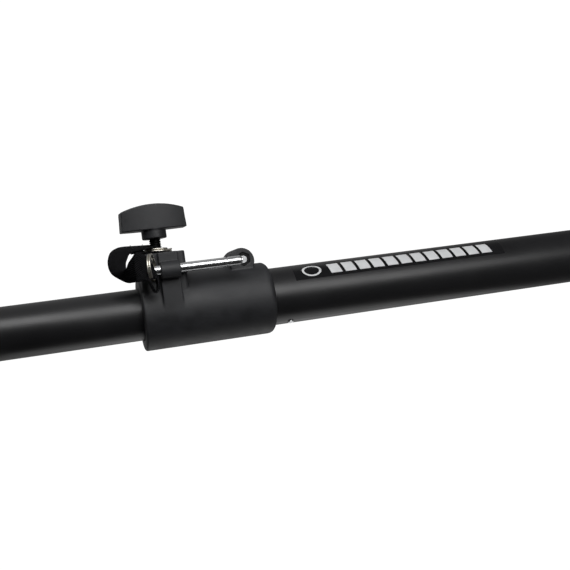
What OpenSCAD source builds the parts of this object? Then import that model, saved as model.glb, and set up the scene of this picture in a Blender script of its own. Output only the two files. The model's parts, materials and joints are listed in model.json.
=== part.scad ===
// Telescopic speaker pole: a 35 mm inner tube slides in a 40 mm outer tube. A moulded collar
// clamps it with a T-knob, and a safety pin on a webbing lanyard is parked beside the knob.
// Millimetres. +Z runs up the pole, +X points at the T-knob, and the origin is the centre of
// the lower spigot's end face.

/* [Tubes] */
// Outside diameter of the inner tube and of the lower spigot
inner_od = 35; // [35:0.5:35]
// Outside diameter of the outer tube
outer_od = 40; // [40:0.5:40]
// Wall of both tubes
tube_wall = 1.5; // [1.2:0.1:2]
// Length of the outer tube
outer_len = 740; // [600:10:900]
// Length of the inner tube
inner_len = 780; // [640:10:940]
// Inner tube that stands out of the collar at rest
exposed = 150; // [100:5:400]
// Length of the lower spigot below the outer tube
spigot_len = 60; // [50:5:90]
// Distance between the safety holes in the inner tube
hole_pitch = 60; // [40:5:80]

/* [Clamp collar] */
// Outside diameter of the collar
collar_od = 50; // [49:0.5:54]
// Length of the collar
collar_len = 90; // [85:1:100]
// Height of the knob's screw below the collar's top
screw_drop = 16; // [15:0.5:17]
// Distance from the pole's axis to the top of the clamp block
block_top = 38.8; // [38.6:0.1:42]
// Thread diameter of the clamp screw
screw_d = 8; // [8:1:8]

/* [Knob] */
// Length of the knob's wing at its foot
wing_len = 44.6; // [36:0.2:50]
// Length of the wing at its top
wing_top_len = 42.6; // [36:0.2:50]
// Height of the wing at its middle
wing_height = 17.2; // [16:0.2:20]
// Thickness of the wing at its middle
wing_thick = 17.2; // [16:0.2:18]

/* [Safety pin] */
// Diameter of the pin
pin_d = 6.4; // [6:0.1:6.6]
// Length of the pin
pin_len = 60; // [55:0.5:70]
// Outside diameter of the two split rings
ring_od = 19; // [18.5:0.5:19.5]
// Thickness of the rings' wire
wire_d = 1.5; // [1.4:0.1:1.6]

/* [Lanyard] */
// Width of the webbing
web_w = 18.5; // [17:0.5:20]
// Thickness of the webbing
web_t = 1.4; // [1.2:0.1:1.6]

/* [Hidden] */
$fn = 96;

// heights along the pole
flange_t = 3;
outer_z0 = spigot_len + flange_t;
tube_top = outer_z0 + outer_len;
socket_len = 45;
collar_top = tube_top + socket_len;
collar_z0 = collar_top - collar_len;
inner_top = collar_top + exposed;
inner_z0 = inner_top - inner_len;

// radii
inner_r = inner_od / 2;
outer_r = outer_od / 2;
outer_bore_r = outer_r - tube_wall;
inner_bore_r = inner_r - tube_wall;
collar_r = collar_od / 2;
run = 0.08;
cut = 1;

// clamp block on the knob's side of the collar
screw_z = collar_top - screw_drop;
screw_r = screw_d / 2;
block_half_w = 22;
block_z1 = collar_top - 1.5;
block_z0 = collar_top - 32.2;
block_round = 3;
shoe_half_w = 8;
shoe_half_h = 10.5;
shoe_back = 23;
shoe_gap = 0.3;
pocket_gap = 0.2;
pocket_back = 25.6;
neck_r = 2.8;
neck_len = 2.6;
nut_af = 13;
nut_t = 6.5;
nut_x = 30;

// knob
knob_base = 49.8;
hub_r = 8.4;
hub_len = 6;
wing_x = knob_base + hub_len;
wing_arc_r = 64;
wing_face_r = 77;
wing_turn = 5;
screw_end = wing_x + 9;

// pin and its holder
pin_x = 27.2;
pin_y = -28.5;
pin_r = pin_d / 2;
pin_top = collar_top - 8;
holder_r = 5.8;
holder_x = 26.7;
holder_z1 = collar_top - 13.8;
holder_z0 = collar_top - 26.6;
pad_y = -collar_r;
eye_r = 1.85;
eye_z = pin_top - 2.3;

// pinch joint
pinch_x = 27.2;
pinch_z = collar_top - 71.2;
pinch_r = 9;
pinch_half_w = 13;
slit_w = 3;
slit_len = 40;
bolt_x = 28.2;
bolt_z = collar_top - 72.6;
bolt_r = 2.5;
m5_af = 8;
m5_t = 4;
recess_depth = 4.8;
head_r = 4.25;
head_t = 5;
washer_r = 4.9;
washer_t = 1;

// guide sleeve, rivets and label
sleeve_z0 = collar_top - 110;
rivet_r = 1.6;
rivet_head_r = 1.9;
rivet_angle = -68;
sleeve_rivet_z = collar_top - 101.2;
plug_len = 57;
plug_r = inner_r - 0.5;
spigot_rivet_z = outer_z0 + 20;
label_t = 0.12;
label_len = 160.6;
label_top = collar_top - 106.3;
label_low = 26.5;
label_high = 64;

// split rings
coil_r = wire_d / 2;
ring_r = ring_od / 2 - coil_r;
coil_step = 1.35;
anchor_x = 41.7;
anchor_z = collar_top - 17.4;
anchor_tilt = 3;
pin_ring_tilt = 18;
pin_ring_rise = 1.6;

// lanyard: hand-chosen points, [x, y, z from the collar's top], and the direction across the
// webbing at each of them
web_path = [
    [44.8, -1, -8.5], [44.6, -2, -5], [44.4, -4, 0.5], [43.7, -7.5, 6], [41, -11.5, 9.8],
    [37, -15, 12], [33, -18.5, 12.6], [29.8, -22, 12], [28.3, -25, 10], [28, -27.5, 6.8],
    [29.2, -30, 3.8], [30.4, -32, 1], [30.4, -33.5, -2], [29.4, -35, -5.5]
];
web_side = [
    [-0.15, -0.97, 0.1], [-0.2, -0.97, 0.1], [-0.25, -0.96, -0.05], [-0.3, -0.9, -0.3],
    [-0.3, -0.8, -0.5], [-0.2, -0.8, -0.55], [-0.05, -0.85, -0.55], [0.1, -0.9, -0.45],
    [0.3, -0.9, -0.25], [0.65, -0.75, -0.05], [0.85, -0.55, 0], [0.96, -0.25, 0.05],
    [1, 0, 0], [1, 0.1, -0.05]
];
web_steps = 4;

// safety holes: the first one's distance from the inner tube's top, and how many there are
hole_first = 170;
hole_count = 8;
hole_r = 3.5;

// direction at an angle from the pin's side (-Y) towards the knob's side (+X)
module around(angle) {
    rotate([0, 0, angle - 90]) children();
}

module bar_x(r, x0, x1) {
    translate([x0, 0, 0]) rotate([0, 90, 0]) cylinder(r = r, h = x1 - x0);
}

module bar_y(r, y0, y1) {
    translate([0, y0, 0]) rotate([-90, 0, 0]) cylinder(r = r, h = y1 - y0);
}

module tube(ro, ri, z0, z1) {
    translate([0, 0, z0]) difference() {
        cylinder(r = ro, h = z1 - z0);
        translate([0, 0, -cut]) cylinder(r = ri, h = z1 - z0 + 2 * cut);
    }
}

module rivet(r_in, r_out) {
    bar_x(rivet_r, r_in, r_out);
    bar_x(rivet_head_r, r_out, r_out + 0.8);
}

// a nut that lies along Z with two corners on the X axis
module nut(af, thick, bore_r) {
    difference() {
        cylinder(d = af / cos(30), h = thick, $fn = 6);
        translate([0, 0, -cut]) cylinder(r = bore_r, h = thick + 2 * cut);
    }
}

// coil of a split ring about Z: two turns of wire that lie on each other
module split_coil() {
    rotate_extrude() {
        translate([ring_r, -coil_step / 2]) circle(r = coil_r, $fn = 24);
        translate([ring_r, coil_step / 2]) circle(r = coil_r, $fn = 24);
    }
}

module outer_tube() {
    color("#17181a") difference() {
        tube(outer_r, outer_bore_r, outer_z0, tube_top);
        for (a = [rivet_angle, rivet_angle + 180]) {
            translate([0, 0, sleeve_rivet_z]) around(a) bar_x(rivet_r, 0, outer_r + cut);
            translate([0, 0, spigot_rivet_z]) around(a) bar_x(rivet_r, 0, outer_r + cut);
        }
    }
}

// collar's wall, with a chamfered top end and a round lower end
module collar_body() {
    top_chamfer = 1;
    end_round = 4.6;
    translate([0, 0, collar_z0]) rotate_extrude() {
        translate([0, end_round]) square([collar_r, collar_len - end_round - top_chamfer]);
        square([collar_r - end_round, collar_len]);
        translate([collar_r - end_round, end_round]) circle(r = end_round);
        polygon([
            [0, collar_len], [collar_r - top_chamfer, collar_len],
            [collar_r, collar_len - top_chamfer], [0, collar_len - top_chamfer]
        ]);
    }
}

// block for the clamp screw, with rounded edges along X
module clamp_block() {
    inner_w = 2 * (block_half_w - block_round);
    z_len = block_z1 - block_z0;
    translate([0, -block_half_w, block_z0 + block_round])
        cube([block_top, 2 * block_half_w, z_len - 2 * block_round]);
    translate([0, -block_half_w + block_round, block_z0]) cube([block_top, inner_w, z_len]);
    for (y = [-1, 1], z = [block_z0 + block_round, block_z1 - block_round])
        translate([0, y * (block_half_w - block_round), z]) bar_x(block_round, 0, block_top);
}

// saddle and bored boss that hold the parked pin
module pin_holder() {
    translate([0, pad_y, holder_z0]) cube([block_top, 10, holder_z1 - holder_z0]);
    translate([holder_x, pin_y, holder_z0]) cylinder(r = holder_r, h = holder_z1 - holder_z0);
}

module clamp_collar() {
    color("#2a2b2e") difference() {
        union() {
            collar_body();
            clamp_block();
            pin_holder();
            translate([pinch_x, 0, pinch_z]) bar_y(pinch_r, -pinch_half_w, pinch_half_w);
        }
        // bores for the two tubes
        translate([0, 0, collar_z0 - cut]) cylinder(r = inner_r + run, h = collar_len + 2 * cut);
        translate([0, 0, collar_z0 - cut]) cylinder(r = outer_r, h = tube_top - collar_z0 + cut);
        // bore for the parked pin
        translate([pin_x, pin_y, holder_z0 - cut])
            cylinder(r = pin_r + run, h = holder_z1 - holder_z0 + 2 * cut);
        // pocket of the shoe, hole of the screw and seat of its nut
        translate([0, -shoe_half_w - pocket_gap, screw_z - shoe_half_h - pocket_gap])
            cube([pocket_back, 2 * (shoe_half_w + pocket_gap), 2 * (shoe_half_h + pocket_gap)]);
        translate([0, 0, screw_z]) bar_x(screw_r + 0.3, 0, block_top + cut);
        translate([nut_x, 0, screw_z]) rotate([0, 90, 0])
            cylinder(d = nut_af / cos(30), h = nut_t, $fn = 6);
        // slit and cross hole of the pinch joint, with the nut's recess and the head's seat
        translate([0, -slit_w / 2, collar_z0 - cut]) cube([collar_r + 15, slit_w, slit_len + cut]);
        translate([bolt_x, 0, bolt_z]) {
            bar_y(bolt_r + 0.2, -pinch_half_w - cut, pinch_half_w + cut);
            translate([0, -pinch_half_w - cut, 0]) rotate([-90, 0, 0])
                cylinder(d = (m5_af + 0.3) / cos(30), h = recess_depth + cut, $fn = 6);
            bar_y(washer_r + 0.2, pinch_half_w - head_t, pinch_half_w + cut);
        }
    }
}

module guide_sleeve() {
    color("#d9d6cc") difference() {
        tube(outer_bore_r, inner_r + run, sleeve_z0, tube_top);
        for (a = [rivet_angle, rivet_angle + 180])
            translate([0, 0, sleeve_rivet_z]) around(a) bar_x(rivet_r, 0, outer_r);
    }
}

module sleeve_rivets() {
    color("#c9cacc") for (a = [rivet_angle, rivet_angle + 180])
        translate([0, 0, sleeve_rivet_z]) around(a) rivet(inner_r + 0.3, outer_r);
}

module clamp_nut() {
    color("#b9bbbe") translate([nut_x, 0, screw_z]) rotate([0, 90, 0])
        nut(nut_af, nut_t, screw_r + 0.05);
}

module pinch_bolt() {
    color("#a9abae") translate([bolt_x, 0, bolt_z]) {
        bar_y(bolt_r, -pinch_half_w + 0.6, pinch_half_w - head_t + washer_t);
        difference() {
            bar_y(head_r, pinch_half_w - head_t + washer_t, pinch_half_w + washer_t);
            translate([0, pinch_half_w + washer_t - 2.5, 0]) rotate([-90, 0, 0])
                cylinder(d = 4 / cos(30), h = 2.5 + cut, $fn = 6);
        }
    }
}

module pinch_washer() {
    color("#b9bbbe") translate([bolt_x, 0, bolt_z]) difference() {
        bar_y(washer_r, pinch_half_w - head_t, pinch_half_w - head_t + washer_t);
        bar_y(bolt_r + 0.2, 0, pinch_half_w);
    }
}

module pinch_nut() {
    color("#1b1b1d") translate([bolt_x, -pinch_half_w + recess_depth, bolt_z]) rotate([90, 0, 0])
        nut(m5_af, m5_t, bolt_r);
}

module label() {
    color("#0c0c0d") translate([0, 0, label_top - label_len]) around(label_low)
        rotate_extrude(angle = label_high - label_low)
            translate([outer_r, 0]) square([label_t, label_len]);
}

module spigot_tube() {
    color("#17181a") difference() {
        union() {
            tube(inner_r, inner_bore_r, 0, spigot_len);
            tube(plug_r, inner_bore_r, spigot_len, outer_z0 + plug_len);
        }
        for (a = [rivet_angle, rivet_angle + 180])
            translate([0, 0, spigot_rivet_z]) around(a) bar_x(rivet_r, 0, outer_r);
    }
}

module spigot_sleeve() {
    color("#202124") difference() {
        union() {
            tube(outer_r, plug_r, spigot_len, outer_z0);
            tube(outer_bore_r, plug_r, outer_z0, outer_z0 + plug_len - 2);
        }
        for (a = [rivet_angle, rivet_angle + 180])
            translate([0, 0, spigot_rivet_z]) around(a) bar_x(rivet_r, 0, outer_r);
    }
}

module spigot_rivets() {
    color("#c9cacc") for (a = [rivet_angle, rivet_angle + 180])
        translate([0, 0, spigot_rivet_z]) around(a) rivet(inner_bore_r, outer_r);
}

module spigot_cap() {
    color("#202124") translate([0, 0, 0.5]) difference() {
        cylinder(r = inner_bore_r, h = 12);
        translate([0, 0, 2.5]) cylinder(r = inner_bore_r - 2, h = 10);
    }
}

module anchor_ring() {
    color("#c8c2b4") translate([anchor_x, 0, anchor_z]) rotate([0, 90 + anchor_tilt, 0])
        split_coil();
}

// point on the smooth curve through p0, p1, p2, p3, between p1 and p2
function blend_points(p0, p1, p2, p3, t) =
    0.5 * (2 * p1 + (p2 - p0) * t + (2 * p0 - 5 * p1 + 4 * p2 - p3) * t * t
        + (3 * p1 - p0 - 3 * p2 + p3) * t * t * t);
function along(list, i, t) =
    let (last = len(list) - 1)
    blend_points(list[max(i - 1, 0)], list[i], list[min(i + 1, last)], list[min(i + 2, last)], t);
function smooth(list) = [
    for (i = [0 : len(list) - 2], k = [0 : web_steps - 1]) along(list, i, k / web_steps),
    list[len(list) - 1]
];
function unit(v) = v / norm(v);
function tangent(points, i) =
    unit(points[min(i + 1, len(points) - 1)] - points[max(i - 1, 0)]);

// flat band that sweeps along the lanyard's route
module lanyard_strap() {
    points = smooth([for (p = web_path) p + [0, 0, collar_top]]);
    sides = smooth(web_side);
    count = len(points);
    rings = [
        for (i = [0 : count - 1])
            let (t = tangent(points, i))
            let (w = unit(sides[i]) * web_w / 2)
            let (n = unit(cross(t, w)) * web_t / 2)
            each [points[i] - w - n, points[i] + w - n, points[i] + w + n, points[i] - w + n]
    ];
    quads = [
        for (i = [0 : count - 2], k = [0 : 3])
            let (a = 4 * i + k)
            let (b = 4 * i + (k + 1) % 4)
            each [[a, b + 4, b], [a, a + 4, b + 4]]
    ];
    last = 4 * (count - 1);
    color("#101012") polyhedron(rings, concat(
        [[0, 1, 2], [0, 2, 3], [last, last + 2, last + 1], [last, last + 3, last + 2]],
        quads
    ));
}

module clamp_shoe() {
    color("#e4e1d8") difference() {
        translate([0, -shoe_half_w, screw_z - shoe_half_h])
            cube([shoe_back, 2 * shoe_half_w, 2 * shoe_half_h]);
        translate([0, 0, screw_z - shoe_half_h - cut])
            cylinder(r = inner_r + shoe_gap, h = 2 * (shoe_half_h + cut));
        translate([0, 0, screw_z])
            bar_x(neck_r + run, shoe_back - neck_len, shoe_back + cut);
    }
}

module clamp_screw() {
    color("#1b1b1d") translate([0, 0, screw_z]) {
        bar_x(neck_r, shoe_back - neck_len + 0.1, shoe_back + 0.6);
        bar_x(screw_r, shoe_back + 0.6, screw_end);
    }
}

// the wing's outline seen along Y: straight ends and an arched top
module wing_outline() {
    half = wing_len / 2;
    top_half = wing_top_len / 2;
    intersection() {
        polygon([
            [wing_x, -half], [wing_x + wing_height, -top_half],
            [wing_x + wing_height, top_half], [wing_x, half]
        ]);
        translate([wing_x + wing_height - wing_arc_r, 0]) circle(r = wing_arc_r);
    }
}

module knob_grip() {
    color("#2c2d31") translate([0, 0, screw_z]) difference() {
        union() {
            bar_x(hub_r, knob_base, wing_x + cut);
            rotate([wing_turn, 0, 0]) intersection() {
                translate([0, wing_thick / 2, 0]) rotate([90, 0, 0]) linear_extrude(wing_thick)
                    wing_outline();
                translate([0, wing_face_r - wing_thick / 2, 0])
                    bar_x(wing_face_r, wing_x - cut, wing_x + wing_height + cut);
                translate([0, wing_thick / 2 - wing_face_r, 0])
                    bar_x(wing_face_r, wing_x - cut, wing_x + wing_height + cut);
            }
        }
        bar_x(screw_r, 0, screw_end);
    }
}

module safety_pin() {
    tip = 1.6;
    groove_up = 9.2;
    groove_w = 1.6;
    color("#d7dade") translate([pin_x, pin_y, pin_top - pin_len]) difference() {
        rotate_extrude() {
            translate([0, tip]) square([pin_r, pin_len - tip - 0.5]);
            square([pin_r - tip, tip + 0.1]);
            intersection() {
                translate([pin_r - tip, tip]) circle(r = tip);
                square([pin_r, pin_len]);
            }
            square([pin_r - 0.5, pin_len]);
        }
        translate([0, 0, groove_up]) tube(pin_r + cut, pin_r - 0.5, 0, groove_w);
        translate([0, 0, eye_z - (pin_top - pin_len)]) bar_x(eye_r, -pin_d, pin_d);
    }
}

module pin_ring() {
    shift = ring_r - 0.8;
    color("#c8c2b4") translate([pin_x + pin_ring_rise, pin_y, eye_z]) rotate([-pin_ring_tilt, 0, 0])
        translate([0, -shift, 0]) split_coil();
}

module glide_ring() {
    ring_h = 15.6;
    color("#e4e1d8") translate([0, 0, inner_z0 - 15.8]) difference() {
        tube(outer_bore_r - 0.1, inner_r - 2.4, 0, ring_h);
        translate([0, -1, -cut]) cube([outer_r, 2, ring_h + 2 * cut]);
    }
}

module inner_tube() {
    color("#17181a") difference() {
        tube(inner_r, inner_bore_r, inner_z0, inner_top);
        for (i = [0 : hole_count - 1])
            translate([0, 0, inner_top - hole_first - i * hole_pitch])
                bar_x(hole_r, -outer_r, outer_r);
    }
}

module glide_plug() {
    color("#202124") translate([0, 0, inner_z0]) {
        translate([0, 0, -22]) cylinder(r = inner_r, h = 6);
        translate([0, 0, -16]) cylinder(r = inner_r - 2.5, h = 16);
        cylinder(r = inner_bore_r, h = 18);
    }
}

module top_cap() {
    lip = 2.5;
    lip_round = 1.5;
    color("#202124") translate([0, 0, inner_top]) {
        rotate_extrude() {
            square([inner_r - lip_round, lip]);
            square([inner_r, lip - lip_round]);
            intersection() {
                translate([inner_r - lip_round, lip - lip_round]) circle(r = lip_round);
                square([inner_r, lip]);
            }
        }
        translate([0, 0, -16]) difference() {
            cylinder(r = inner_bore_r, h = 16);
            translate([0, 0, -cut]) cylinder(r = inner_bore_r - 2, h = 14);
        }
    }
}

outer_tube();
clamp_collar();
guide_sleeve();
sleeve_rivets();
clamp_nut();
pinch_bolt();
pinch_washer();
pinch_nut();
label();
spigot_tube();
spigot_sleeve();
spigot_rivets();
spigot_cap();
anchor_ring();
lanyard_strap();
clamp_shoe();
clamp_screw();
knob_grip();
safety_pin();
pin_ring();
glide_ring();
inner_tube();
glide_plug();
top_cap();
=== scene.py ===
"""Looks of a telescopic speaker pole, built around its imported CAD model.

Metres, +Z up the pole, +X towards the T-knob, and the parked safety pin on the -Y side.
"""

import json
import math

import bpy
from mathutils import Matrix, Vector

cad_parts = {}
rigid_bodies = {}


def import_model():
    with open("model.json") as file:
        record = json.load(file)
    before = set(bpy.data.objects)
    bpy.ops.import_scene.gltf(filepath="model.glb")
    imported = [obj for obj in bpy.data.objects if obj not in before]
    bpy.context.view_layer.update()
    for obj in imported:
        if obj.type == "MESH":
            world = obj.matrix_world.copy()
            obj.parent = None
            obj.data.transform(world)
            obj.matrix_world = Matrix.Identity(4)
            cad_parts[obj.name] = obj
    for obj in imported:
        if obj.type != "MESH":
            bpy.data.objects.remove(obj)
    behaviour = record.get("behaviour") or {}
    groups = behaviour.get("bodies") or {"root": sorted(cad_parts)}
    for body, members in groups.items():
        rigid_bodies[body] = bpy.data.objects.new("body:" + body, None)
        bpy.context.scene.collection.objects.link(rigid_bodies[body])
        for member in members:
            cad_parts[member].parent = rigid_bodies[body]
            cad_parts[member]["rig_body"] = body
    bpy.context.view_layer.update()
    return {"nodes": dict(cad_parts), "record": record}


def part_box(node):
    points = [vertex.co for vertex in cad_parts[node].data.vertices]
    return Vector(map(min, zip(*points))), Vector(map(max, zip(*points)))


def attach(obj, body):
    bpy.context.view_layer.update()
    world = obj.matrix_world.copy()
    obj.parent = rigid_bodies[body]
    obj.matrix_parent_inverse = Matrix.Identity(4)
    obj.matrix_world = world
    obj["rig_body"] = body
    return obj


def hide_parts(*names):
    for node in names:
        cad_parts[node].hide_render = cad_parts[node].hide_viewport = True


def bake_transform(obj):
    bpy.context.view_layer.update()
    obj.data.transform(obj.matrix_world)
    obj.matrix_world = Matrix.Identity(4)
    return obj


MM = 0.001
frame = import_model()
nodes = frame["nodes"]
scene = bpy.context.scene
scene.view_settings.view_transform = "Standard"


def centre(node):
    low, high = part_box(node)
    return (low + high) / 2


collar_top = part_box("clamp_collar")[1].z
outer_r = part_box("outer_tube")[1].x
screw_z = centre("clamp_screw").z


def from_collar(point):
    """A point given as x, y and height from the collar's top, in millimetres."""
    return Vector((point[0] * MM, point[1] * MM, collar_top + point[2] * MM))


# ---------------------------------------------------------------- camera

CAMERA_AT = from_collar((5.8, -575.4, 49.5))
CAMERA_LOOKS_AT = from_collar((7.0, 0, -102.6))
CAMERA_ROLL = math.radians(7.66)
CAMERA_LENS = 53.24
CAMERA_SENSOR = 36
CAMERA_CLIP = 0.01


def add_camera():
    """The pole lies across the picture: its top is on the left and the knob points up."""
    back = (CAMERA_AT - CAMERA_LOOKS_AT).normalized()
    knob_way = Vector((1, 0, 0))
    level_up = (knob_way - back * knob_way.dot(back)).normalized()
    level_right = level_up.cross(back)
    up = level_up * math.cos(CAMERA_ROLL) + level_right * math.sin(CAMERA_ROLL)
    right = up.cross(back)
    data = bpy.data.cameras.new("camera")
    data.lens = CAMERA_LENS
    data.sensor_width = CAMERA_SENSOR
    data.clip_start = CAMERA_CLIP
    camera = bpy.data.objects.new("camera", data)
    turn = Matrix((right, up, back)).transposed().to_4x4()
    camera.matrix_world = Matrix.Translation(CAMERA_AT) @ turn
    scene.collection.objects.link(camera)
    scene.camera = camera


add_camera()


# ---------------------------------------------------------------- materials


class Nodes:
    """A Principled material and short calls that add nodes to it."""

    def __init__(self, name, colour, roughness, metallic=0.0):
        self.material = bpy.data.materials.new(name)
        self.material.use_nodes = True
        self.material.diffuse_color = (*colour, 1)
        self.tree = self.material.node_tree
        self.shader = self.tree.nodes["Principled BSDF"]
        self.shader.inputs["Base Color"].default_value = (*colour, 1)
        self.shader.inputs["Roughness"].default_value = roughness
        self.shader.inputs["Metallic"].default_value = metallic

    def add(self, kind, **values):
        node = self.tree.nodes.new(kind)
        for name, value in values.items():
            if name in node.bl_rna.properties:
                setattr(node, name, value)
            else:
                node.inputs[name.replace("_", " ")].default_value = value
        return node

    def link(self, a, b):
        self.tree.links.new(a, b)

    def place(self, stretch=(1, 1, 1)):
        """The row frame's coordinates, in metres, stretched along each axis."""
        where = self.add("ShaderNodeTexCoord")
        mapping = self.add("ShaderNodeMapping")
        mapping.inputs["Scale"].default_value = stretch
        self.link(where.outputs["Object"], mapping.inputs["Vector"])
        return mapping.outputs["Vector"]

    def noise(self, size, detail=2.0, stretch=(1, 1, 1)):
        """Noise whose blobs are about size metres wide."""
        node = self.add("ShaderNodeTexNoise", Scale=1 / size, Detail=detail)
        self.link(self.place(stretch), node.inputs["Vector"])
        return node.outputs["Fac"]

    def spread(self, value, low, high, start=0.3, end=0.7):
        """Maps a value from start..end to low..high."""
        node = self.add("ShaderNodeMapRange")
        node.inputs["From Min"].default_value = start
        node.inputs["From Max"].default_value = end
        node.inputs["To Min"].default_value = low
        node.inputs["To Max"].default_value = high
        self.link(value, node.inputs["Value"])
        return node.outputs["Result"]

    def math(self, operation, a, b):
        node = self.add("ShaderNodeMath", operation=operation)
        for socket, value in zip(node.inputs, (a, b)):
            if isinstance(value, (int, float)):
                socket.default_value = value
            else:
                self.link(value, socket)
        return node.outputs["Value"]

    def tint(self, value, dark, light):
        """Base colour that runs from dark to light with value."""
        node = self.add("ShaderNodeMix", data_type="RGBA")
        node.inputs[6].default_value = (*dark, 1)
        node.inputs[7].default_value = (*light, 1)
        self.link(value, node.inputs[0])
        self.link(node.outputs[2], self.shader.inputs["Base Color"])

    def rough(self, value, low, high):
        self.link(self.spread(value, low, high), self.shader.inputs["Roughness"])

    def bump(self, value, height, strength=1.0, over=None):
        """Bump of that height in metres, laid over an earlier bump if there is one."""
        node = self.add("ShaderNodeBump", Distance=height, Strength=strength)
        self.link(value, node.inputs["Height"])
        if over is not None:
            self.link(over, node.inputs["Normal"])
        self.link(node.outputs["Normal"], self.shader.inputs["Normal"])
        return node.outputs["Normal"]


def shades(colour, low, high):
    """The colour at two strengths."""
    return tuple(c * low for c in colour), tuple(c * high for c in colour)


# how wide each finish's blobs are
FLOW_MARK = 9 * MM
PEEL = 0.9 * MM
SPECK = 0.12 * MM
CLOUD = 30 * MM
BRUSH_LINE = 0.25 * MM
STAIN = 3 * MM
FILM_WAVE = 6 * MM
FILM_SMEAR = 2 * MM
FUZZ = 0.2 * MM

# the darkest and lightest shares of the base colour
MOULDED_SHADE = (0.5, 0.75)
PAINT_SHADE = (0.9, 1.1)
PLATED_DARK = 0.88
FILM_SHADE = (0.95, 1.05)
# the webbing's colour share in its grooves (painted shade) and on its crests (painted highlight)
WEAVE_PAINTED_SHADE_AND_HIGHLIGHT = (0.15, 6)

# the webbing's twill, in millimetres on its own u and v, and the part of its height over which its
# colour runs from painted shade in the grooves to a painted highlight on the crests
RIB_PITCH = 1.5
YARN_PITCH = 0.75
RIB_SHARE = 0.6
TWILL_RANGE = (0.35, 0.9)


def moulded(name, colour, roughness, grain=0.7 * MM, depth=0.05 * MM):
    """Moulded plastic, darker than its base colour, with an eroded grain and faint flow marks."""
    m = Nodes(name, colour, roughness)
    fine = m.noise(grain, 3)
    broad = m.noise(FLOW_MARK, 2)
    m.tint(m.spread(broad, 0, 1), *shades(colour, *MOULDED_SHADE))
    m.rough(broad, roughness - 0.05, roughness + 0.05)
    m.bump(fine, depth, 0.7, m.bump(broad, depth, 0.3))
    return m.material


def powder_coat(name, colour, roughness):
    """Satin powder coat: a slight orange peel and cloudy gloss."""
    m = Nodes(name, colour, roughness)
    peel = m.noise(PEEL, 1)
    speck = m.noise(SPECK, 1)
    cloud = m.noise(CLOUD, 2)
    m.tint(m.spread(cloud, 0, 1), *shades(colour, *PAINT_SHADE))
    m.rough(cloud, roughness - 0.03, roughness + 0.04)
    m.bump(peel, 0.01 * MM, 0.35, m.bump(speck, 0.004 * MM, 0.5))
    return m.material


def plated(name, colour, roughness, brushed=(1, 1, 1), light=1.05):
    """Plated steel, with a faint brushing along one axis and small stains. light is the share of
    the base colour in its brightest spots."""
    m = Nodes(name, colour, roughness, metallic=1.0)
    lines = m.noise(BRUSH_LINE, 2, brushed)
    stain = m.noise(STAIN, 3)
    m.tint(m.spread(stain, 0, 1), *shades(colour, PLATED_DARK, light))
    m.rough(lines, max(0.03, roughness - 0.05), roughness + 0.06)
    m.bump(lines, 0.003 * MM, 0.4)
    return m.material


def film(name, colour, roughness):
    """Gloss film that shows a little of the surface below it."""
    m = Nodes(name, colour, roughness)
    wave = m.noise(FILM_WAVE, 1)
    m.rough(m.noise(FILM_SMEAR, 2), roughness, roughness + 0.06)
    m.tint(m.spread(wave, 0, 1), *shades(colour, *FILM_SHADE))
    m.bump(wave, 0.02 * MM, 0.3)
    return m.material


def weave(name, colour):
    """Twill webbing: diagonal ribs crossed by yarns, painted darker in their grooves as shade and
    lighter on their crests as a highlight. It reads the piece's own u and v, in mm.
    """
    m = Nodes(name, colour, 0.8)
    m.shader.inputs["Specular IOR Level"].default_value = 0.06
    where = m.add("ShaderNodeUVMap", uv_map="weave")
    split = m.add("ShaderNodeSeparateXYZ")
    m.link(where.outputs["UV"], split.inputs["Vector"])
    across = split.outputs["X"]
    along = split.outputs["Y"]
    rib_turn = m.math("MULTIPLY", m.math("ADD", across, along), math.tau / RIB_PITCH)
    yarn_turn = m.math("MULTIPLY", m.math("SUBTRACT", across, along), math.tau / YARN_PITCH)
    ribs = m.math("SINE", rib_turn, 0)
    yarns = m.math("SINE", yarn_turn, 0)
    rib_height = m.math("MULTIPLY", ribs, RIB_SHARE)
    height = m.math("ADD", rib_height, m.math("MULTIPLY", yarns, 1 - RIB_SHARE))
    fuzz = m.noise(FUZZ, 3)
    # painted shade in the weave's grooves and a painted highlight on its crests, set by the rib and
    # yarn height
    m.tint(m.spread(height, 0, 1, *TWILL_RANGE), *shades(colour, *WEAVE_PAINTED_SHADE_AND_HIGHLIGHT))
    m.bump(height, 0.1 * MM, 0.9, m.bump(fuzz, 0.05 * MM, 0.5))
    return m.material


record_colours = {m["slot"]: tuple(m["base_color"]) for m in frame["record"]["materials"]}
paint = powder_coat("tube_paint", record_colours["tube_paint"], 0.36)
collar_plastic = moulded("collar_nylon", record_colours["collar_nylon"], 0.55)
knob_plastic = moulded("knob_nylon", record_colours["knob_nylon"], 0.5)
acetal = moulded("white_acetal", record_colours["white_acetal"], 0.4, depth=0.005 * MM)
zinc = plated("zinc_steel", record_colours["zinc_steel"], 0.32)
black_oxide = plated("black_steel", record_colours["black_steel"], 0.42)
chrome = plated("pin_chrome", record_colours["pin_chrome"], 0.24, brushed=(1, 1, 0.05))
nickel = plated("ring_nickel", record_colours["ring_nickel"], 0.28, light=1.3)
webbing = weave("webbing", record_colours["webbing"])
label_film = film("label_film", record_colours["label_film"], 0.16)
silver_ink = film("silver_ink", (0.72, 0.73, 0.74), 0.38)
thread = moulded("lanyard_thread", (0.014, 0.014, 0.015), 0.7, grain=0.2 * MM)

BY_SLOT = {
    "tube_paint": paint,
    "collar_nylon": collar_plastic,
    "knob_nylon": knob_plastic,
    "white_acetal": acetal,
    "zinc_steel": zinc,
    "black_steel": black_oxide,
    "pin_chrome": chrome,
    "ring_nickel": nickel,
    "webbing": webbing,
    "label_film": label_film,
}


def dress(mesh, material):
    mesh.materials.clear()
    mesh.materials.append(material)


for subpart in frame["record"]["subparts"]:
    dress(nodes[subpart["node"]].data, BY_SLOT[subpart["material_slot"]])


# ---------------------------------------------------------------- mesh helpers


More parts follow.
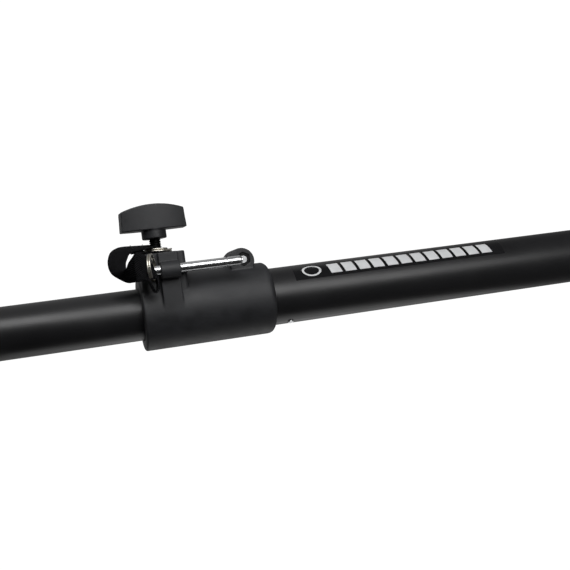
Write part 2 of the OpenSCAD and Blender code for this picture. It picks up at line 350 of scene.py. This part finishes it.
def add_piece(name, verts, faces, material, uvs=None):
    """A smooth mesh object. uvs holds one (u, v) for each corner of each face."""
    mesh = bpy.data.meshes.new(name)
    mesh.from_pydata([tuple(v) for v in verts], [], faces)
    dress(mesh, material)
    if uvs:
        layer = mesh.uv_layers.new(name="weave")
        for corner, uv in zip(layer.data, uvs):
            corner.uv = uv
    mesh.shade_smooth()
    piece = bpy.data.objects.new(name, mesh)
    scene.collection.objects.link(piece)
    return piece


def loft(sections):
    """Faces that join closed sections of equal length, with one face to close each end."""
    count = len(sections[0])
    verts = [p for section in sections for p in section]
    faces = []
    for i in range(len(sections) - 1):
        for k in range(count):
            a = i * count + k
            b = i * count + (k + 1) % count
            faces.append((a, b, b + count, a + count))
    faces.append(tuple(reversed(range(count))))
    faces.append(tuple(range(len(verts) - count, len(verts))))
    return verts, faces


def directions(points):
    """The way a line runs at each of its points."""
    last = len(points) - 1
    spans = [points[min(i + 1, last)] - points[max(i - 1, 0)] for i in range(last + 1)]
    return [span.normalized() for span in spans]


CORD_END_SHARE = 0.6


def cord(points, radius, sides):
    """A round cord through points, narrower at its ends."""
    ways = directions(points)
    side = ways[0].orthogonal().normalized()
    sections = []
    last = len(points) - 1
    for i, (point, way) in enumerate(zip(points, ways)):
        side = (side - way * side.dot(way)).normalized()
        other = way.cross(side)
        r = radius * (CORD_END_SHARE if i in (0, last) else 1)
        angles = [math.tau * k / sides for k in range(sides)]
        sections.append([point + (side * math.cos(a) + other * math.sin(a)) * r for a in angles])
    return loft(sections)


def join_parts(name, parts, material):
    """One object from several (verts, faces) pairs."""
    verts, faces = [], []
    for more_verts, more_faces in parts:
        start = len(verts)
        verts += more_verts
        faces += [tuple(start + i for i in face) for face in more_faces]
    return add_piece(name, verts, faces, material)


def curve_through(values, steps):
    """Points of a smooth curve through the values, with steps between neighbours."""
    last = len(values) - 1
    out = []
    for i in range(last):
        p0, p1, p2, p3 = (values[min(max(i + k, 0), last)] for k in (-1, 0, 1, 2))
        for k in range(steps):
            t = k / steps
            out.append(0.5 * (2 * p1 + (p2 - p0) * t + (2 * p0 - 5 * p1 + 4 * p2 - p3) * t ** 2
                              + (3 * p1 - p0 - 3 * p2 + p3) * t ** 3))
    return out + [values[last]]


# ---------------------------------------------------------------- mouldings


def soften(node, voxel, passes, material):
    """A moulding's visual piece: the CAD solid with its edges and inner corners rounded."""
    piece = bpy.data.objects.new(node + "_moulding", nodes[node].data.copy())
    scene.collection.objects.link(piece)
    remesh = piece.modifiers.new("remesh", "REMESH")
    remesh.mode = "VOXEL"
    remesh.voxel_size = voxel
    remesh.use_smooth_shade = True
    smooth = piece.modifiers.new("smooth", "SMOOTH")
    smooth.factor = 0.5
    smooth.iterations = passes
    bpy.context.view_layer.update()
    depsgraph = bpy.context.evaluated_depsgraph_get()
    mesh = bpy.data.meshes.new_from_object(piece.evaluated_get(depsgraph))
    piece.modifiers.clear()
    piece.data = mesh
    dress(mesh, material)
    mesh.shade_smooth()
    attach(piece, nodes[node]["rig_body"])
    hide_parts(node)


soften("clamp_collar", 0.5 * MM, 6, collar_plastic)
soften("knob_grip", 0.4 * MM, 6, knob_plastic)


# ---------------------------------------------------------------- split rings

RING_WIRE_AXIAL = 0.62 * MM
RING_WIRE_RADIAL = 0.8 * MM
RING_TURN_GAP = 0.66 * MM
RING_STEPS = 200
RING_SIDES = 12
RING_END_SHARE = 0.55
RING_JOG = 0.06
RING_END = 0.075


def ease(t):
    """A step from 0 to 1 that starts and ends gently."""
    t = min(max(t, 0), 1)
    return t * t * (3 - 2 * t)


def split_ring(name, node, axis, start_angle):
    """Two flat turns of wire that step from one to the other, so both ends lie beside the step."""
    middle = centre(node)
    low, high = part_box(node)
    size = high - low
    ring_r = (size.z if abs(axis.x) > 0.5 else size.x) / 2 - RING_WIRE_RADIAL
    u = axis.orthogonal().normalized()
    v = axis.cross(u)
    sections = []
    for i in range(RING_STEPS + 1):
        turns = RING_END + (2 - 2 * RING_END) * i / RING_STEPS
        angle = start_angle + math.tau * turns
        offset = RING_TURN_GAP * (2 * ease((turns - 1 + RING_JOG) / (2 * RING_JOG)) - 1)
        outward = u * math.cos(angle) + v * math.sin(angle)
        point = middle + outward * ring_r + axis * offset
        thin = RING_END_SHARE if i in (0, RING_STEPS) else 1
        section = []
        for k in range(RING_SIDES):
            a = math.tau * k / RING_SIDES
            section.append(point + outward * (math.cos(a) * RING_WIRE_RADIAL * thin)
                           + axis * (math.sin(a) * RING_WIRE_AXIAL * thin))
        sections.append(section)
    verts, faces = loft(sections)
    ring = add_piece(name, verts, faces, nickel)
    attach(ring, nodes[node]["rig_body"])
    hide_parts(node)


ANCHOR_TILT = math.radians(3)
ANCHOR_START = math.radians(200)
PIN_RING_TILT = math.radians(18)
PIN_RING_START = math.radians(150)
anchor_axis = Vector((math.cos(ANCHOR_TILT), 0, -math.sin(ANCHOR_TILT)))
pin_ring_axis = Vector((0, math.sin(PIN_RING_TILT), math.cos(PIN_RING_TILT)))
split_ring("anchor_split_ring", "anchor_ring", anchor_axis, ANCHOR_START)
split_ring("pin_split_ring", "pin_ring", pin_ring_axis, PIN_RING_START)


# ---------------------------------------------------------------- clamp screw

THREAD_PITCH = 1.25 * MM
THREAD_DEPTH = 0.7 * MM
THREAD_STEPS = 10
THREAD_SIDES = 40
THREAD_STEEPNESS = 2.6
NECK_LEN = 3.1 * MM
NECK_R = 2.8 * MM


def add_clamp_screw():
    """The clamp screw with a real helical thread, which turns with the knob."""
    low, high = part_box("clamp_screw")
    major_r = (high.z - low.z) / 2
    neck_end = low.x + NECK_LEN
    sections = []
    steps = int((high.x - low.x) / THREAD_PITCH * THREAD_STEPS)
    for i in range(steps + 1):
        x = low.x + (high.x - low.x) * i / steps
        section = []
        for k in range(THREAD_SIDES):
            a = math.tau * k / THREAD_SIDES
            turn = (x / THREAD_PITCH - k / THREAD_SIDES) % 1
            r = major_r - THREAD_DEPTH * (1 - min(1, THREAD_STEEPNESS * min(turn, 1 - turn)))
            if x < neck_end:
                r = NECK_R
            section.append(Vector((x, math.cos(a) * r, screw_z + math.sin(a) * r)))
        sections.append(section)
    verts, faces = loft(sections)
    screw = add_piece("clamp_screw_thread", verts, faces, black_oxide)
    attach(screw, "clamp_knob")
    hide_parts("clamp_screw")


add_clamp_screw()


# ---------------------------------------------------------------- lanyard

WEB_W = 18.5 * MM
WEB_T = 1.3 * MM
WEB_STEPS = 6
WEB_ACROSS = 14
WEB_EDGE = 4
WEB_CROWN = 0.5 * MM

# one row for each point of the route: x, y and height from the collar's top in millimetres, the
# direction across the webbing, the share of its full width that it keeps where it is gathered,
# and how far its edges sag towards the collar's middle where it curls around a ring, in millimetres
ANCHOR_LOOP = [
    ((43, -4.2, 2.2), (-0.25, -0.97, 0), 0.96, 0.5),
    ((42.8, -3.4, -1), (-0.2, -0.97, 0.1), 0.96, 1),
    ((42.2, -2.2, -3.6), (-0.15, -0.98, 0.1), 0.92, 2),
    ((41, -1, -5.8), (-0.1, -1, 0.1), 0.86, 3.6),
    ((39.7, -0.4, -8), (0, -1, 0), 0.82, 4.6),
    ((40.2, 0, -10.2), (0, -1, 0), 0.8, 5),
    ((42, 0, -10.6), (0, -1, 0), 0.8, 5),
    ((44, -0.4, -10.2), (-0.05, -1, 0), 0.82, 5),
]
MAIN_RUN = [
    ((44.8, -1, -8.5), (-0.15, -0.97, 0.1), 0.86, 4.6),
    ((44.6, -2, -5), (-0.2, -0.97, 0.1), 0.94, 2.6),
    ((44.4, -4, 0.5), (-0.25, -0.96, -0.05), 1, 0.8),
    ((43.7, -7.5, 6), (-0.3, -0.9, -0.3), 1, 0),
    ((41, -11.5, 9.8), (-0.3, -0.8, -0.5), 1, 0),
    ((37, -15, 12), (-0.2, -0.8, -0.55), 1, 0),
    ((33, -18.5, 12.6), (-0.05, -0.85, -0.55), 1, 0),
    ((29.8, -22, 12), (0.1, -0.9, -0.45), 1, 0),
    ((28.3, -25, 10), (0.3, -0.9, -0.25), 1, 0),
    ((28, -27.5, 6.8), (0.65, -0.75, -0.05), 1, 0),
    ((29.2, -30, 3.8), (0.85, -0.55, 0), 1, 0),
    ((30.4, -32, 1), (0.96, -0.25, 0.05), 1, 0),
]
PIN_LOOP = [
    ((30.4, -33.6, -2), (1, 0, 0), 0.98, 0),
    ((29.6, -34.6, -5.2), (0.97, 0.2, 0), 0.86, 0),
    ((27.2, -35.6, -8), (0.85, 0.5, 0), 0.7, 0),
    ((23.6, -36.6, -9.8), (0.4, 0.9, 0), 0.6, 0),
    ((19, -37, -10.2), (0.1, 1, 0), 0.56, 0),
    ((15.4, -37, -9.7), (0, 1, 0), 0.56, 0),
    ((13.6, -37, -8.5), (0, 1, 0), 0.56, 0),
    ((14.8, -37, -7.2), (0, 1, 0), 0.56, 0),
    ((18, -37, -6), (0.1, 1, 0), 0.56, 0),
    ((22, -36.8, -5), (0.3, 0.95, 0), 0.6, 0),
    ((26, -36, -3.2), (0.7, 0.7, 0), 0.72, 0),
    ((28.8, -35, -0.4), (0.95, 0.25, 0), 0.86, 0),
    ((29.8, -34.8, 2.6), (0.97, -0.1, 0), 0.94, 0),
]


def lanyard_route():
    """The webbing's middle line and, at each of its points, the rest of that row."""
    rows = ANCHOR_LOOP + MAIN_RUN + PIN_LOOP
    points = curve_through([from_collar(row[0]) for row in rows], WEB_STEPS)
    sides = [s.normalized() for s in curve_through([Vector(row[1]) for row in rows], WEB_STEPS)]
    shares = curve_through([row[2] for row in rows], WEB_STEPS)
    sags = curve_through([row[3] * MM for row in rows], WEB_STEPS)
    return points, sides, shares, sags


def web_section(point, side, normal, half_width, sag):
    """A flat oval section with crowned faces and round selvedges. Its edges are down by sag."""
    outline = []
    half_t = WEB_T / 2
    flat = half_width - half_t
    for sign in (1, -1):
        for k in range(WEB_ACROSS + 1):
            s = sign * (1 - 2 * k / WEB_ACROSS)
            crown = WEB_CROWN * (half_width / (WEB_W / 2)) * (1 - s * s)
            outline.append((s * flat, sign * half_t + crown))
        for k in range(1, WEB_EDGE):
            a = math.pi * k / WEB_EDGE
            outline.append((-sign * (flat + math.sin(a) * half_t), sign * math.cos(a) * half_t))
    down = Vector((0, 0, -sag))
    section = [point + side * across + normal * up + down * (across / half_width) ** 2
               for across, up in outline]
    return section, outline


def add_lanyard():
    """The webbing, which loops round the pin at one end and the collar's ring at the other."""
    points, sides, shares, sags = lanyard_route()
    ways = directions(points)
    sections, outlines, lengths = [], [], [0.0]
    for i, (point, side, share, sag, way) in enumerate(zip(points, sides, shares, sags, ways)):
        normal = way.cross(side).normalized()
        section, outline = web_section(point, side, normal, WEB_W / 2 * share, sag)
        sections.append(section)
        outlines.append(outline)
        if i:
            lengths.append(lengths[-1] + (point - points[i - 1]).length)
    verts, faces = loft(sections)
    count = len(sections[0])
    uvs = []
    for face in faces:
        for index in face:
            ring, k = divmod(index, count)
            uvs.append((outlines[ring][k][0] / MM / shares[ring], lengths[ring] / MM))
    strap = add_piece("lanyard_webbing", verts, faces, webbing, uvs)
    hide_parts("lanyard_strap")
    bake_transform(strap)
    return points, sides, shares, ways


lanyard = add_lanyard()

STITCH_R = 0.28 * MM
STITCH_LEN = 2.2 * MM
STITCH_PITCH = 3.0 * MM
STITCH_SIDES = 8
STITCH_COUNT = 5
STITCH_LIFT = WEB_T / 2 + WEB_CROWN

# points along a stitch: shares of its length from its middle, and of its radius above the webbing
STITCH_ARCH = ((-0.5, -0.8), (-0.3, 0.5), (0, 0.9), (0.3, 0.5), (0.5, -0.8))


def stitches(name, body, rows):
    """Rows of thread across the sewn overlap at one end of the lanyard."""
    points, sides, shares, ways = lanyard
    parts = []
    for i in rows:
        across = sides[i]
        normal = ways[i].cross(across).normalized()
        for k in range(STITCH_COUNT):
            offset = (k - (STITCH_COUNT - 1) / 2) * STITCH_PITCH
            if abs(offset) > WEB_W / 2 * shares[i] - STITCH_PITCH / 2:
                continue
            middle = points[i] + across * offset + normal * STITCH_LIFT
            ends = [middle + across * STITCH_LEN * s + normal * STITCH_R * h
                    for s, h in STITCH_ARCH]
            parts.append(cord(ends, STITCH_R, STITCH_SIDES))
    piece = join_parts(name, parts, thread)
    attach(piece, body)


main_start = len(ANCHOR_LOOP) * WEB_STEPS
route_end = len(lanyard[0]) - 1
stitches("lanyard_stitches_anchor", "outer_pole",
         (main_start + WEB_STEPS // 2, main_start + 2 * WEB_STEPS))
stitches("lanyard_stitches_pin", "parked_pin", (route_end - 2, route_end - 9))


# ---------------------------------------------------------------- label's print

PRINT_LIFT = 0.16 * MM
PRINT_T = 0.05 * MM
PRINT_LOW = math.radians(33)
PRINT_HIGH = math.radians(60)
BAR_FIRST = 25.6 * MM
BAR_COUNT = 12
BAR_PITCH = 10.6 * MM
BAR_LEN = 8.2 * MM
BAR_SLANT = 1.6 * MM
BADGE_MIDDLE = 13 * MM
BADGE_R = 7 * MM
BADGE_WIDTH = 1.6 * MM
BADGE_SQUASH = 0.75
BADGE_CLOSED = 0.995
PATCH_ROWS = 12
PATCH_COLUMNS = 24


def on_label(along, angle, lift):
    """A point on the label: along from its top end, and the angle from -Y towards +X."""
    r = outer_r + lift
    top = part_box("label")[1].z
    return Vector((r * math.sin(angle), -r * math.cos(angle), top - along))


def label_patch(corner):
    """A thin raised patch. corner(s, t) gives (along, angle) for s and t from 0 to 1."""
    rows, columns = PATCH_ROWS, PATCH_COLUMNS
    verts, faces = [], []
    for lift in (PRINT_LIFT, PRINT_LIFT + PRINT_T):
        for i in range(rows + 1):
            for k in range(columns + 1):
                verts.append(on_label(*corner(k / columns, i / rows), lift))
    layer = (rows + 1) * (columns + 1)
    for i in range(rows):
        for k in range(columns):
            a = i * (columns + 1) + k
            b = a + columns + 1
            faces.append((a, a + 1, b + 1, b))
            faces.append((layer + a, layer + b, layer + b + 1, layer + a + 1))
    rim = list(range(columns + 1))
    rim += [(i + 1) * (columns + 1) - 1 for i in range(1, rows + 1)]
    rim += [rows * (columns + 1) + k for k in range(columns - 1, -1, -1)]
    rim += [i * (columns + 1) for i in range(rows - 1, 0, -1)]
    for a, b in zip(rim, rim[1:] + rim[:1]):
        faces.append((a, layer + a, layer + b, b))
    return verts, faces


def bar(index):
    start = BAR_FIRST + index * BAR_PITCH

    def corner(s, t):
        return start + BAR_LEN * s + BAR_SLANT * (0.5 - t), PRINT_LOW + (PRINT_HIGH - PRINT_LOW) * t

    return label_patch(corner)


def badge():
    """A plain open ring."""
    middle_angle = (PRINT_LOW + PRINT_HIGH) / 2

    def corner(s, t):
        a = math.tau * BADGE_CLOSED * s
        r = BADGE_R - BADGE_WIDTH * t
        angle = middle_angle + BADGE_SQUASH * r * math.sin(a) / outer_r
        return BADGE_MIDDLE + r * math.cos(a), angle

    return label_patch(corner)


label_print = join_parts("label_print", [badge()] + [bar(i) for i in range(BAR_COUNT)], silver_ink)
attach(label_print, "outer_pole")


# ---------------------------------------------------------------- studio

STAGE_BEND_STEPS = 16
STAGE_WHITE = (0.2, 0.2, 0.2)
STAGE_GLOW = 0.3
GLOW_FROM_Y = 0.3
GLOW_FULL_Y = 1.6
SKY_LOW = 0.01
SKY_HIGH = 0.35
SKY_FROM = 0.1


def add_stage():
    """A floor that curves up into a wall behind the pole. It is plain white to the camera, and it
    lights the object with a dim glow that comes only from behind the pole."""
    half_width = 4.0
    front = -4.0
    wall_y = 2.2
    bend_r = 0.8
    height = 5.0
    floor_z = -0.0005
    profile = [(front, floor_z), (wall_y - bend_r, floor_z)]
    for k in range(1, STAGE_BEND_STEPS + 1):
        a = math.pi / 2 * k / STAGE_BEND_STEPS
        y = wall_y - bend_r + bend_r * math.sin(a)
        profile.append((y, floor_z + bend_r * (1 - math.cos(a))))
    profile.append((wall_y, height))
    verts = [(x, y, z) for y, z in profile for x in (-half_width, half_width)]
    faces = [(2 * i, 2 * i + 1, 2 * i + 3, 2 * i + 2) for i in range(len(profile) - 1)]
    m = Nodes("stage_white", STAGE_WHITE, 0.9)
    m.shader.inputs["Emission Color"].default_value = (1, 1, 1, 1)
    seen = m.add("ShaderNodeLightPath").outputs["Is Camera Ray"]
    split = m.add("ShaderNodeSeparateXYZ")
    m.link(m.place(), split.inputs["Vector"])
    behind = m.spread(split.outputs["Y"], 0, STAGE_GLOW, GLOW_FROM_Y, GLOW_FULL_Y)
    m.link(m.math("MAXIMUM", seen, behind), m.shader.inputs["Emission Strength"])
    add_piece("stage", verts, faces, m.material)


def area_light(name, at, target, size, watts):
    data = bpy.data.lights.new(name, "AREA")
    data.shape = "RECTANGLE"
    data.size, data.size_y = size
    data.energy = watts
    light = bpy.data.objects.new(name, data)
    light.location = at
    light.rotation_euler = (Vector(target) - Vector(at)).to_track_quat("-Z", "Z").to_euler()
    scene.collection.objects.link(light)


def add_world():
    """White to the camera. It lights the object dimly, and more from the knob's side."""
    world = bpy.data.worlds.new("studio")
    world.use_nodes = True
    tree = world.node_tree
    way = tree.nodes.new("ShaderNodeTexCoord").outputs["Generated"]
    split = tree.nodes.new("ShaderNodeSeparateXYZ")
    tree.links.new(way, split.inputs["Vector"])
    sky = tree.nodes.new("ShaderNodeMapRange")
    sky.inputs["From Min"].default_value = SKY_FROM
    sky.inputs["To Min"].default_value = SKY_LOW
    sky.inputs["To Max"].default_value = SKY_HIGH
    tree.links.new(split.outputs["X"], sky.inputs["Value"])
    strength = tree.nodes.new("ShaderNodeMath")
    strength.operation = "MAXIMUM"
    seen = tree.nodes.new("ShaderNodeLightPath").outputs["Is Camera Ray"]
    tree.links.new(seen, strength.inputs[0])
    tree.links.new(sky.outputs["Result"], strength.inputs[1])
    background = tree.nodes["Background"]
    background.inputs["Color"].default_value = (1, 1, 1, 1)
    tree.links.new(strength.outputs["Value"], background.inputs["Strength"])
    scene.world = world


add_stage()
lit_at = (0, 0, collar_top - 0.05)
area_light("key", at=(0.66, -0.97, collar_top - 0.1), target=lit_at, size=(0.5, 1.8), watts=13)
area_light("low_rim", at=(-1.0, 0.5, collar_top - 0.3), target=lit_at, size=(0.9, 1.1), watts=2.4)
add_world()
